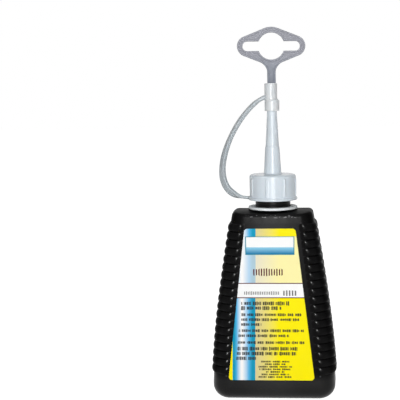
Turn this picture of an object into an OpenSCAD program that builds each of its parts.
// Ribbed squeeze bottle of dry graphite with a long nozzle, a tethered tip cap and a hang tag.
// Millimetres, +Z up. The origin is the middle of the base, and the label faces -Y.

/* [Bottle body] */
// Height of the body from the base to the crest of the shoulder
body_h = 89; // [80:1:110]
// Width of the body at the base, over the plain wall
base_w = 58.2; // [56:0.2:68]
// Width of the body at the shoulder, over the plain wall
top_w = 36.8; // [34:0.2:42]
// Swell of each side out of the straight taper, at its fullest
side_swell = 1.7; // [0:0.1:2.5]
// Depth of the body at the base
base_d = 28; // [26:0.5:34]
// Depth of the body at the shoulder
top_d = 25; // [24.5:0.5:30]
// Radius of the four upright corners at the shoulder
corner_r = 6.5; // [5:0.25:8]
// Radius of the four upright corners at the base
base_corner_r = 8.5; // [6:0.25:9]
// Thickness of the moulded wall
wall = 1.2; // [0.8:0.1:1.6]
// Radius of the edge round the base
base_edge_r = 7; // [4:0.25:8]
// Width of the flat foot inside that edge
foot_w = 2.5; // [1.5:0.25:3.5]
// Depth of the recess in the base
base_recess = 0.8; // [0.4:0.1:1.5]
// Radius of the edge round the shoulder
shoulder_edge_r = 2.6; // [2:0.1:2.8]
// Drop of the domed shoulder from its crest to the front face
shoulder_crown = 2.6; // [1.5:0.1:2.8]

/* [Side ribs] */
// Plain band between the base and the lowest rib
base_band = 13; // [9:0.5:16]
// Plain band between the highest rib and the crest of the shoulder
top_band = 5.5; // [5.4:0.1:12]
// Wanted distance from one rib to the next
rib_pitch = 3.71; // [3:0.01:6]
// How far a rib stands out of the wall
rib_out = 1; // [0.5:0.1:1.6]

/* [Neck] */
// Outer diameter of the neck
neck_d = 16.2; // [15.8:0.1:17.6]
// Diameter of the bore through the neck
neck_bore_d = 13.6; // [11.5:0.1:14]
// Length of neck that shows between the tag ring and the screw cap
neck_show = 3; // [2:0.25:5]

/* [Hang tag] */
// Thickness of the tag
tag_t = 1.1; // [0.8:0.1:1.4]
// Outer diameter of the ring round the neck
tag_ring_d = 22.7; // [21:0.1:23]
// Width of the stem behind the cap
stem_w = 4; // [3:0.25:6]
// Inner radius of the bend from the ring to the stem
tag_bend_r = 0.5; // [0.4:0.1:1]
// Height of the hook hole above the underside of the ring
hook_rise = 74.6; // [72:0.1:90]
// Diameter of the hook hole
hook_hole_d = 12.4; // [11:0.1:13.6]
// Length of the slot through the hook hole
slot_len = 26.8; // [25:0.1:28.6]
// Height of the slot
slot_h = 4.4; // [4.2:0.1:4.6]
// Overall width of the head
head_w = 31.9; // [31.5:0.1:36]
// Height of the head from the middle of the hole to its peak
head_peak = 8.8; // [8.4:0.1:11]
// Radius of the head's two ends
head_end_r = 4.7; // [4:0.1:5.6]
// Radius of the hollow corners between the head and the stem
head_fillet_r = 3.2; // [2:0.25:6]
// Width of the raised rim along the edges of the head
head_rim_w = 0.9; // [0.5:0.1:1.2]
// How far that rim stands out of each face
head_rim_out = 0.2; // [0.1:0.05:0.4]
// Turn of the tag about the neck at rest, in degrees
tag_turn = 3.5; // [-20:0.5:20]

/* [Screw cap] */
// Height of the screw cap
cap_h = 11.8; // [10:0.1:15]
// Outer diameter of the cap's wall
cap_d = 21.6; // [20.4:0.1:21.8]
// Outer diameter of the rim at the cap's mouth
cap_rim_d = 22.8; // [22:0.1:23.6]
// Height of that rim
cap_rim_h = 1.4; // [0.8:0.1:2]
// Diameter of the cap's bore
cap_bore_d = 18.8; // [18.2:0.1:19]
// Thickness of the cap's top
cap_top_t = 1.4; // [1:0.1:2]
// Radius of the cap's top edge
cap_edge_r = 1.2; // [0.5:0.1:1.3]
// Number of grip ribs round the cap
grip_count = 8; // [6:1:12]
// Radius of a grip rib
grip_r = 0.45; // [0.3:0.05:0.6]
// Direction of the first grip rib from the front, in degrees
grip_phase = -11.5; // [-45:0.5:45]
// Thickness of the sealing washer
liner_t = 1; // [0.6:0.1:1.5]
// Diameter of the hole in the sealing washer
liner_hole_d = 10; // [9:0.1:11]

/* [Nozzle] */
// Length of the nozzle above the screw cap
nozzle_len = 39.7; // [34:0.1:46]
// Diameter of the nozzle at its root
nozzle_root_d = 8.1; // [7.4:0.1:9]
// Height of the small ledge above the screw cap
ledge_rise = 12.6; // [8:0.1:18]
// Diameter of the nozzle under the ledge
ledge_d = 6.6; // [6.2:0.1:7.2]
// Width of the ledge
ledge_step = 0.18; // [0.1:0.01:0.3]
// Diameter of the nozzle at its end
nozzle_tip_d = 3.1; // [2.9:0.1:3.4]
// Diameter of the hole at the nozzle's end
nozzle_hole_d = 1.6; // [1.2:0.1:1.7]
// Thickness of the nozzle's wall at its root
nozzle_wall = 0.95; // [0.7:0.05:1.2]

/* [Tip cap] */
// Height of the tip cap
tip_cap_h = 12.5; // [10:0.1:15]
// Diameter of the upper part of the tip cap
tip_cap_d = 5.8; // [5.4:0.1:6.2]
// Sideways place of the upper part, towards the strap where it is less than zero
tip_cap_shift = -0.4; // [-0.4:0.05:0]
// Diameter of its skirt
tip_skirt_d = 6.7; // [6.3:0.1:7.2]
// Sideways place of the skirt, away from the strap
tip_skirt_shift = 0.1; // [0:0.05:0.3]
// Height of its skirt
tip_skirt_h = 5.7; // [4:0.1:7]
// Height of the slope from the skirt up to the upper part
tip_slope_h = 1.2; // [0.3:0.1:2]
// Thickness of its closed end
tip_top_t = 1.4; // [0.8:0.1:2]
// Diameter of the sealing pin inside it
tip_pin_d = 1.1; // [0.8:0.1:1.1]
// Length of the sealing pin
tip_pin_len = 1.8; // [1:0.1:3]

/* [Strap] */
// Width of the strap
strap_w = 3.4; // [2:0.1:3.8]
// Thickness of the strap
strap_t = 1.9; // [1:0.1:2.2]
// Reach of the strap's curve out of the screw cap
strap_foot_reach = 24.6; // [18:0.1:32]
// Rise of that curve over its reach
strap_foot_rise = 1.3; // [0:0.1:4]
// Reach of the strap's curve out of the tip cap
strap_top_reach = 13.6; // [8:0.1:20]
// Drop of that curve over its reach
strap_top_drop = 5.1; // [2:0.1:10]
// Twist of the strap half way along, in degrees
strap_twist = 35; // [0:1:50]

/* [Label] */
// Height of the label's lower edge up the front face
label_foot = 9.9; // [9:0.1:16]
// Height of the label
label_h = 71.5; // [50:0.5:72]
// Margin from each end of the label's lower edge to the end of the flat front face
label_foot_margin = 0.4; // [0.1:0.1:5]
// Margin from each end of the label's upper edge to the end of the flat front face
label_top_margin = 1.4; // [0.5:0.1:5]
// Radius of the label's corners
label_corner_r = 1.5; // [0.5:0.1:3]
// Thickness of the label
label_t = 0.15; // [0.1:0.01:0.3]
// Sideways place of the label's middle
label_shift = -0.8; // [-0.8:0.1:0.8]

/* [Filling] */
// Height of the powder above the floor inside the bottle
powder_h = 58; // [20:1:66]

/* [Hidden] */
$fn = 96;
// Facets in a full circle of an outline that offset or hull rounds
soft_fn = 40;

// Clearances between pieces
stick_gap = 0.03;
powder_gap = 0.1;
tag_seat_gap = 0.3;
tag_bore_gap = 0.25;
stem_gap = 0.7;
liner_gap = 0.1;
liner_side_gap = 0.3;
tip_seat_gap = 0.3;
tip_fit = 0.2;
strap_gap = 0.05;
overrun = 1;

// Steps of the computed surfaces
corner_steps = 6;
flat_steps = 3;
rib_steps = 5;
edge_steps = 3;
dome_steps = 3;
inner_steps = 7;
powder_steps = 5;
strap_rings = 36;
arc_steps = 6;

// The ribs fill the height between the two plain bands exactly
rib_space = body_h - base_band - top_band;
rib_count = max(1, round(rib_space / rib_pitch));
rib_step = rib_space / rib_count;
// Angle from the side at which a rib starts to fade, so that it ends in a round nose at the front
rib_fade_angle = 60;
least_corner_share = 0.1;
// The swell of the sides is fullest a little below half way up the body
swell_power = 0.8;
// The ends of a straight seat inside the neck, as a share of the neck's radius
neck_root_share = 0.9;

neck_r = neck_d / 2;
neck_bore_r = neck_bore_d / 2;

// Heights of the stacked pieces
tag_z = body_h + tag_seat_gap;
cap_foot_z = tag_z + tag_t + neck_show;
cap_top_z = cap_foot_z + cap_h;
cap_ceiling_z = cap_top_z - cap_top_t;
liner_z = cap_ceiling_z - liner_gap - liner_t;
neck_top_z = liner_z - liner_gap;
nozzle_top_z = cap_top_z + nozzle_len;
tip_ceiling_z = nozzle_top_z + tip_seat_gap;
tip_top_z = tip_ceiling_z + tip_top_t;
tip_foot_z = tip_top_z - tip_cap_h;
tip_step_z = tip_foot_z + tip_skirt_h;
hook_z = tag_z + hook_rise;

// Small edges and slopes
neck_edge = 0.5;
cap_rim_slope = 0.4;
cap_mouth_edge = 0.3;
nozzle_root_edge = 0.5;
nozzle_tip_edge = 0.25;
tip_edge = 0.3;
// How far the skirt stands out of the upper part on its far side
tip_skirt_out = tip_skirt_shift - tip_cap_shift + (tip_skirt_d - tip_cap_d) / 2;
tip_pin_taper_share = 0.7;
grip_foot_gap = 0.3;
grip_top_gap = 0.6;
strap_edge = 0.45;

// Half width and half depth of the plain wall at height z
function side_swell_at(z) = side_swell * sin(180 * pow(z / body_h, swell_power));
function half_w(z) = (base_w + (top_w - base_w) * z / body_h) / 2 + side_swell_at(z);
function half_d(z) = (base_d + (top_d - base_d) * z / body_h) / 2;
// Lean of the front face out of the upright
face_lean = atan((base_d - top_d) / 2 / body_h);

function blend(a, b, t) = a + (b - a) * t;
function corner_at(z) = blend(base_corner_r, corner_r, z / body_h);

// Share of a rib's height at an angle round an upright corner, 0 degrees at the side
function rib_share(angle) =
    let (t = (angle - rib_fade_angle) / (90 - rib_fade_angle))
    t <= 0 ? 1 : sqrt(max(0, 1 - t * t));

// Height share of a half round rib at a share t of its pitch
function rib_bump(t) = sqrt(max(0, 1 - pow(2 * t - 1, 2)));

// One point of the plan outline: place, outward direction and share of the rib's height
function corner_point(hw, hd, r, corner, k) =
    let (angle = 90 * (corner + k / corner_steps))
    let (sx = (corner == 0 || corner == 3) ? 1 : -1)
    let (sy = corner < 2 ? 1 : -1)
    let (from_side = asin(min(1, abs(sin(angle)))))
    [sx * (hw - r) + r * cos(angle), sy * (hd - r) + r * sin(angle),
     cos(angle), sin(angle), rib_share(from_side)];

// Plan outline with round corners, and a few more points along the front and the back
function outline(hw, hd, r) = [
    for (corner = [0:3])
        each concat(
            [for (k = [0:corner_steps]) corner_point(hw, hd, r, corner, k)],
            corner % 2 == 1 ? [] : [
                for (j = [1:flat_steps - 1])
                    blend(corner_point(hw, hd, r, corner, corner_steps),
                          corner_point(hw, hd, r, (corner + 1) % 4, 0), j / flat_steps)])];

// One ring of the body's surface, drawn in by inset, with ribs and with the shoulder's dome
function body_ring(z, inset, rib = 0, crown = 0) =
    let (hw = half_w(z) - inset)
    let (hd = half_d(z) - inset)
    let (r = max(corner_at(z) - inset, least_corner_share * corner_at(z)))
    [for (p = outline(hw, hd, r))
        [p[0] + p[2] * rib * p[4], p[1] + p[3] * rib * p[4], z - crown * pow(p[1] / hd, 2)]];

// Rings of a round edge that turns from the upright wall to a level face, seen from the wall
function edge_inset(r, angle) = r * (1 - cos(angle));
function edge_drop(r, angle) = r * (1 - sin(angle));

base_rings = concat(
    [body_ring(base_recess, base_edge_r + foot_w + base_recess),
     body_ring(0, base_edge_r + foot_w)],
    [for (i = [edge_steps:-1:0])
        body_ring(edge_drop(base_edge_r, 90 * i / edge_steps),
                  edge_inset(base_edge_r, 90 * i / edge_steps))]);

rib_rings = [
    for (i = [0:rib_count * rib_steps])
        body_ring(base_band + i * rib_step / rib_steps, 0, rib_out * rib_bump((i % rib_steps) / rib_steps))];

shoulder_rings = [
    for (i = [0:edge_steps])
        body_ring(body_h - edge_drop(shoulder_edge_r, 90 * i / edge_steps),
                  edge_inset(shoulder_edge_r, 90 * i / edge_steps), 0, shoulder_crown)];

// The dome runs from the shoulder's edge to a round ring inside the foot of the neck
dome_hd = half_d(body_h) - shoulder_edge_r;
dome_rings = [
    for (i = [1:dome_steps])
        [for (p = shoulder_rings[edge_steps])
            let (from_axis = norm([p[0], p[1]]))
            let (round_x = p[0] / from_axis * neck_r * neck_root_share)
            let (round_y = p[1] / from_axis * neck_r * neck_root_share)
            let (x = blend(p[0], round_x, i / dome_steps))
            let (y = blend(p[1], round_y, i / dome_steps))
            [x, y, body_h - shoulder_crown * pow(y / dome_hd, 2)]]];

// Inner surface, one wall inside the grooves between the ribs
floor_z = base_recess + wall;
inner_base_r = base_edge_r - wall;
inner_shoulder_r = shoulder_edge_r - wall;
function inner_ring_low(angle, gap) =
    body_ring(floor_z + gap + edge_drop(inner_base_r, angle), wall + gap + edge_inset(inner_base_r, angle));
inner_low_rings = [for (i = [edge_steps:-1:0]) inner_ring_low(90 * i / edge_steps, 0)];
// The wall follows the swell up to the last of these rings, and turns in under the dome above it
inner_base_top = floor_z + inner_base_r;
inner_side_rings = [
    for (i = [1:inner_steps])
        body_ring(blend(inner_base_top, body_h - top_band, i / inner_steps), wall)];
inner_high_rings = [
    for (i = [0:edge_steps])
        body_ring(body_h - wall - edge_drop(inner_shoulder_r, 90 * i / edge_steps),
                  wall + edge_inset(inner_shoulder_r, 90 * i / edge_steps), 0, shoulder_crown)];

// Closed surface through a stack of rings with equal numbers of points, with a peak over the last
module skin(rings, peak) {
    n = len(rings[0]);
    last = len(rings) - 1;
    points = concat([for (ring = rings) each ring], [peak]);
    foot = [[for (i = [0:n - 1]) i]];
    sides = [
        for (level = [0:last - 1])
            for (i = [0:n - 1])
                let (a = level * n + i)
                let (b = level * n + (i + 1) % n)
                each [[a, a + n, b + n], [a, b + n, b]]];
    top = [for (i = [0:n - 1]) [last * n + (i + 1) % n, last * n + i, (last + 1) * n]];
    polyhedron(points = points, faces = concat(foot, sides, top), convexity = 10);
}

module bottle() {
    color([0.11, 0.11, 0.12])
    difference() {
        union() {
            skin(concat(base_rings, rib_rings, shoulder_rings, dome_rings), [0, 0, body_h]);
            bottle_neck();
        }
        skin(concat(inner_low_rings, inner_side_rings, inner_high_rings), [0, 0, body_h - wall]);
        translate([0, 0, body_h - wall - shoulder_crown])
            cylinder(r = neck_bore_r, h = neck_top_z - body_h + wall + shoulder_crown + overrun);
    }
}

// Plain neck, rooted in the shoulder, with a bevel at its mouth
module bottle_neck() {
    rotate_extrude()
        polygon([[0, body_h - shoulder_crown], [neck_r, body_h - shoulder_crown],
                 [neck_r, neck_top_z - neck_edge], [neck_r - neck_edge, neck_top_z], [0, neck_top_z]]);
}

// Half the length of the label's edge at height z, where the front face is flat
function label_reach(z, margin) = half_w(z) - corner_at(z) - margin;

module label() {
    foot_reach = label_reach(label_foot, label_foot_margin);
    top_reach = label_reach(label_foot + label_h, label_top_margin);
    color([0.98, 0.92, 0.2])
    translate([0, -base_d / 2, 0])
        rotate([90 - face_lean, 0, 0])
            translate([label_shift, label_foot, stick_gap])
                linear_extrude(label_t)
                    offset(r = label_corner_r, $fn = soft_fn)
                        offset(delta = -label_corner_r)
                            polygon([[-foot_reach, 0], [foot_reach, 0],
                                     [top_reach, label_h], [-top_reach, label_h]]);
}

// Powder that fills the bottle up to its level, with a low heap in the middle
module graphite_powder() {
    powder_z = floor_z + powder_h;
    heap = wall;
    color([0.25, 0.25, 0.27])
        skin(concat([for (i = [edge_steps:-1:0]) inner_ring_low(90 * i / edge_steps, powder_gap)],
                    [for (i = [1:powder_steps])
                        body_ring(blend(inner_base_top + powder_gap, powder_z, i / powder_steps),
                                  wall + powder_gap)]),
             [0, 0, powder_z + heap]);
}

// Hang tag: a ring round the neck, a bend, a stem behind the cap and a head with a hook hole
stem_y = cap_rim_d / 2 + stem_gap;
// The rim of the head runs down the stem to below the top of the tip cap
head_foot = hook_z - tip_top_z + head_rim_w;

module hanger() {
    color([0.56, 0.57, 0.62])
    rotate([0, 0, tag_turn])
        union() {
            difference() {
                translate([0, 0, tag_z])
                    cylinder(d = tag_ring_d, h = tag_t);
                translate([0, 0, tag_z - overrun])
                    cylinder(r = neck_r + tag_bore_gap, h = tag_t + 2 * overrun);
            }
            tag_stem();
            translate([0, stem_y + tag_t, hook_z])
                rotate([90, 0, 0])
                    tag_head();
        }
}

// Bent strip from the ring to the foot of the head, drawn in its side view
module tag_stem() {
    bend_y = stem_y - tag_bend_r;
    bend_z = tag_z + tag_t + tag_bend_r;
    outer_r = tag_bend_r + tag_t;
    tab_y = (neck_r + tag_bore_gap + tag_ring_d / 2) / 2;
    rotate([90, 0, 90])
        linear_extrude(stem_w, center = true)
            polygon(concat(
                [[tab_y, tag_z]],
                [for (i = [0:arc_steps])
                    [bend_y + outer_r * sin(90 * i / arc_steps),
                     bend_z - outer_r * cos(90 * i / arc_steps)]],
                [[stem_y + tag_t, hook_z - head_foot], [stem_y, hook_z - head_foot]],
                [for (i = [arc_steps:-1:0])
                    [bend_y + tag_bend_r * sin(90 * i / arc_steps),
                     bend_z - tag_bend_r * cos(90 * i / arc_steps)]],
                [[tab_y, tag_z + tag_t]]));
}

// The head lies in its own plane, with the middle of the hook hole at the origin
module tag_head() {
    linear_extrude(tag_t)
        difference() {
            head_outline();
            head_cut();
        }
    translate([0, 0, -head_rim_out])
        linear_extrude(tag_t + 2 * head_rim_out)
            difference() {
                head_outline();
                difference() {
                    offset(delta = -head_rim_w)
                        head_outline();
                    offset(r = head_rim_w, $fn = soft_fn)
                        head_cut();
                }
                head_cut();
            }
}

module head_outline() {
    offset(r = -head_fillet_r, $fn = soft_fn)
        offset(delta = head_fillet_r)
            union() {
                hull() {
                    circle(r = head_peak, $fn = soft_fn);
                    for (side = [-1, 1])
                        translate([side * (head_w / 2 - head_end_r), 0])
                            circle(r = head_end_r, $fn = soft_fn);
                }
                translate([-stem_w / 2, -head_foot])
                    square([stem_w, head_foot]);
            }
}

module head_cut() {
    circle(d = hook_hole_d);
    square([slot_len - slot_h, slot_h], center = true);
    for (side = [-1, 1])
        translate([side * (slot_len - slot_h) / 2, 0])
            circle(d = slot_h);
}

// Outer radius of the nozzle above the ledge, at height z
function nozzle_r(z) =
    blend(ledge_d / 2 - ledge_step, nozzle_tip_d / 2,
          (z - cap_top_z - ledge_rise) / (nozzle_len - ledge_rise));

module nozzle_cap() {
    cap_r = cap_d / 2;
    rim_r = cap_rim_d / 2;
    bore_r = cap_bore_d / 2;
    channel_r = nozzle_root_d / 2 - nozzle_wall;
    ledge_z = cap_top_z + ledge_rise;
    color([0.86, 0.89, 0.92]) {
        rotate_extrude()
            polygon(concat(
                [[bore_r + cap_mouth_edge, cap_foot_z], [rim_r, cap_foot_z],
                 [rim_r, cap_foot_z + cap_rim_h - cap_rim_slope], [cap_r, cap_foot_z + cap_rim_h]],
                [for (i = [0:arc_steps])
                    [cap_r - edge_inset(cap_edge_r, 90 * i / arc_steps),
                     cap_top_z - edge_drop(cap_edge_r, 90 * i / arc_steps)]],
                [[nozzle_root_d / 2 + nozzle_root_edge, cap_top_z],
                 [nozzle_root_d / 2, cap_top_z + nozzle_root_edge],
                 [ledge_d / 2, ledge_z], [ledge_d / 2 - ledge_step, ledge_z],
                 [nozzle_r(nozzle_top_z - nozzle_tip_edge), nozzle_top_z - nozzle_tip_edge],
                 [nozzle_tip_d / 2 - nozzle_tip_edge, nozzle_top_z],
                 [nozzle_hole_d / 2, nozzle_top_z], [channel_r, cap_ceiling_z],
                 [bore_r, cap_ceiling_z], [bore_r, cap_foot_z + cap_mouth_edge]]));
        for (i = [0:grip_count - 1])
            rotate([0, 0, grip_phase + 360 * i / grip_count])
                translate([0, -cap_r, cap_foot_z + cap_rim_h + grip_foot_gap])
                    cylinder(r = grip_r, h = cap_h - cap_rim_h - cap_edge_r - grip_foot_gap - grip_top_gap);
    }
}

// Washer between the rim of the neck and the ceiling of the cap
module cap_liner() {
    color([0.93, 0.93, 0.9])
    translate([0, 0, liner_z])
        difference() {
            cylinder(r = cap_bore_d / 2 - liner_side_gap, h = liner_t);
            translate([0, 0, -overrun])
                cylinder(d = liner_hole_d, h = liner_t + 2 * overrun);
        }
}

// The skirt stands out on the side away from the strap, and the bore follows the nozzle
module tip_cap() {
    color([0.88, 0.9, 0.9])
    difference() {
        union() {
            translate([tip_cap_shift, 0, 0])
                tip_post(tip_cap_d / 2, tip_top_z, tip_edge, tip_edge);
            translate([tip_skirt_shift, 0, 0])
                tip_post(tip_skirt_d / 2, tip_step_z, tip_skirt_out, tip_slope_h);
        }
        tip_bore();
    }
}

// Upright post from the foot of the tip cap, with a slope round its top
module tip_post(r, top, slope_w, slope_h) {
    rotate_extrude()
        polygon([[0, tip_foot_z], [r, tip_foot_z], [r, top - slope_h], [r - slope_w, top], [0, top]]);
}

// Hollow over the nozzle's end, round the sealing pin
module tip_bore() {
    pin_r = tip_pin_d / 2;
    rotate_extrude()
        polygon([[0, tip_foot_z - overrun], [nozzle_r(tip_foot_z - overrun) + tip_fit, tip_foot_z - overrun],
                 [nozzle_r(tip_ceiling_z) + tip_fit, tip_ceiling_z], [pin_r, tip_ceiling_z],
                 [pin_r * tip_pin_taper_share, tip_ceiling_z - tip_pin_len],
                 [0, tip_ceiling_z - tip_pin_len]]);
}

// Middle line of the strap in the XZ plane, one cubic curve from the screw cap to the tip cap
strap_foot_z = cap_foot_z + cap_rim_h - strap_t / 2 + cap_rim_slope;
strap_start = [-cap_rim_d / 2 - strap_gap, strap_foot_z];
strap_end = [tip_cap_shift - tip_cap_d / 2 - strap_gap, tip_step_z + strap_t / 4];
strap_out = strap_start + [-strap_foot_reach, strap_foot_rise];
strap_in = strap_end - [strap_top_reach, strap_top_drop];

function strap_at(t) =
    pow(1 - t, 3) * strap_start + 3 * pow(1 - t, 2) * t * strap_out
    + 3 * (1 - t) * t * t * strap_in + t * t * t * strap_end;
function strap_way(t) =
    pow(1 - t, 2) * (strap_out - strap_start) + 2 * (1 - t) * t * (strap_in - strap_out)
    + t * t * (strap_end - strap_in);

// The twist rises fast from both ends, and holds over the middle
strap_twist_power = 0.6;
// Over the last share at each end the section turns upright, flat against what it joins
strap_square_share = 0.12;
function strap_side(t) =
    let (way = strap_way(t) / norm(strap_way(t)))
    let (across = [way[1], -way[0]])
    let (upright = t < 0.5 ? [0, 1] : [0, -1])
    let (near_end = min(t, 1 - t) / strap_square_share)
    let (mix = blend(upright, across, min(1, near_end)))
    mix / norm(mix);

// Section of the strap: a flat bar with bevelled edges, as places along its thickness and width
strap_section = [
    [strap_t / 2, strap_edge - strap_w / 2], [strap_t / 2, strap_w / 2 - strap_edge],
    [strap_t / 2 - strap_edge, strap_w / 2], [strap_edge - strap_t / 2, strap_w / 2],
    [-strap_t / 2, strap_w / 2 - strap_edge], [-strap_t / 2, strap_edge - strap_w / 2],
    [strap_edge - strap_t / 2, -strap_w / 2], [strap_t / 2 - strap_edge, -strap_w / 2]];

function strap_ring(t) =
    let (at = strap_at(t))
    let (side = strap_side(t))
    let (twist = strap_twist * pow(max(0, sin(180 * t)), strap_twist_power))
    [for (p = strap_section)
        let (u = p[0] * cos(twist) - p[1] * sin(twist))
        let (v = p[0] * sin(twist) + p[1] * cos(twist))
        [at[0] + u * side[0], v, at[1] + u * side[1]]];

module strap() {
    rings = [for (i = [0:strap_rings]) strap_ring(i / strap_rings)];
    color([0.75, 0.78, 0.81])
        skin(rings, [strap_end[0], 0, strap_end[1]]);
}

bottle();
label();
graphite_powder();
hanger();
nozzle_cap();
cap_liner();
strap();
tip_cap();
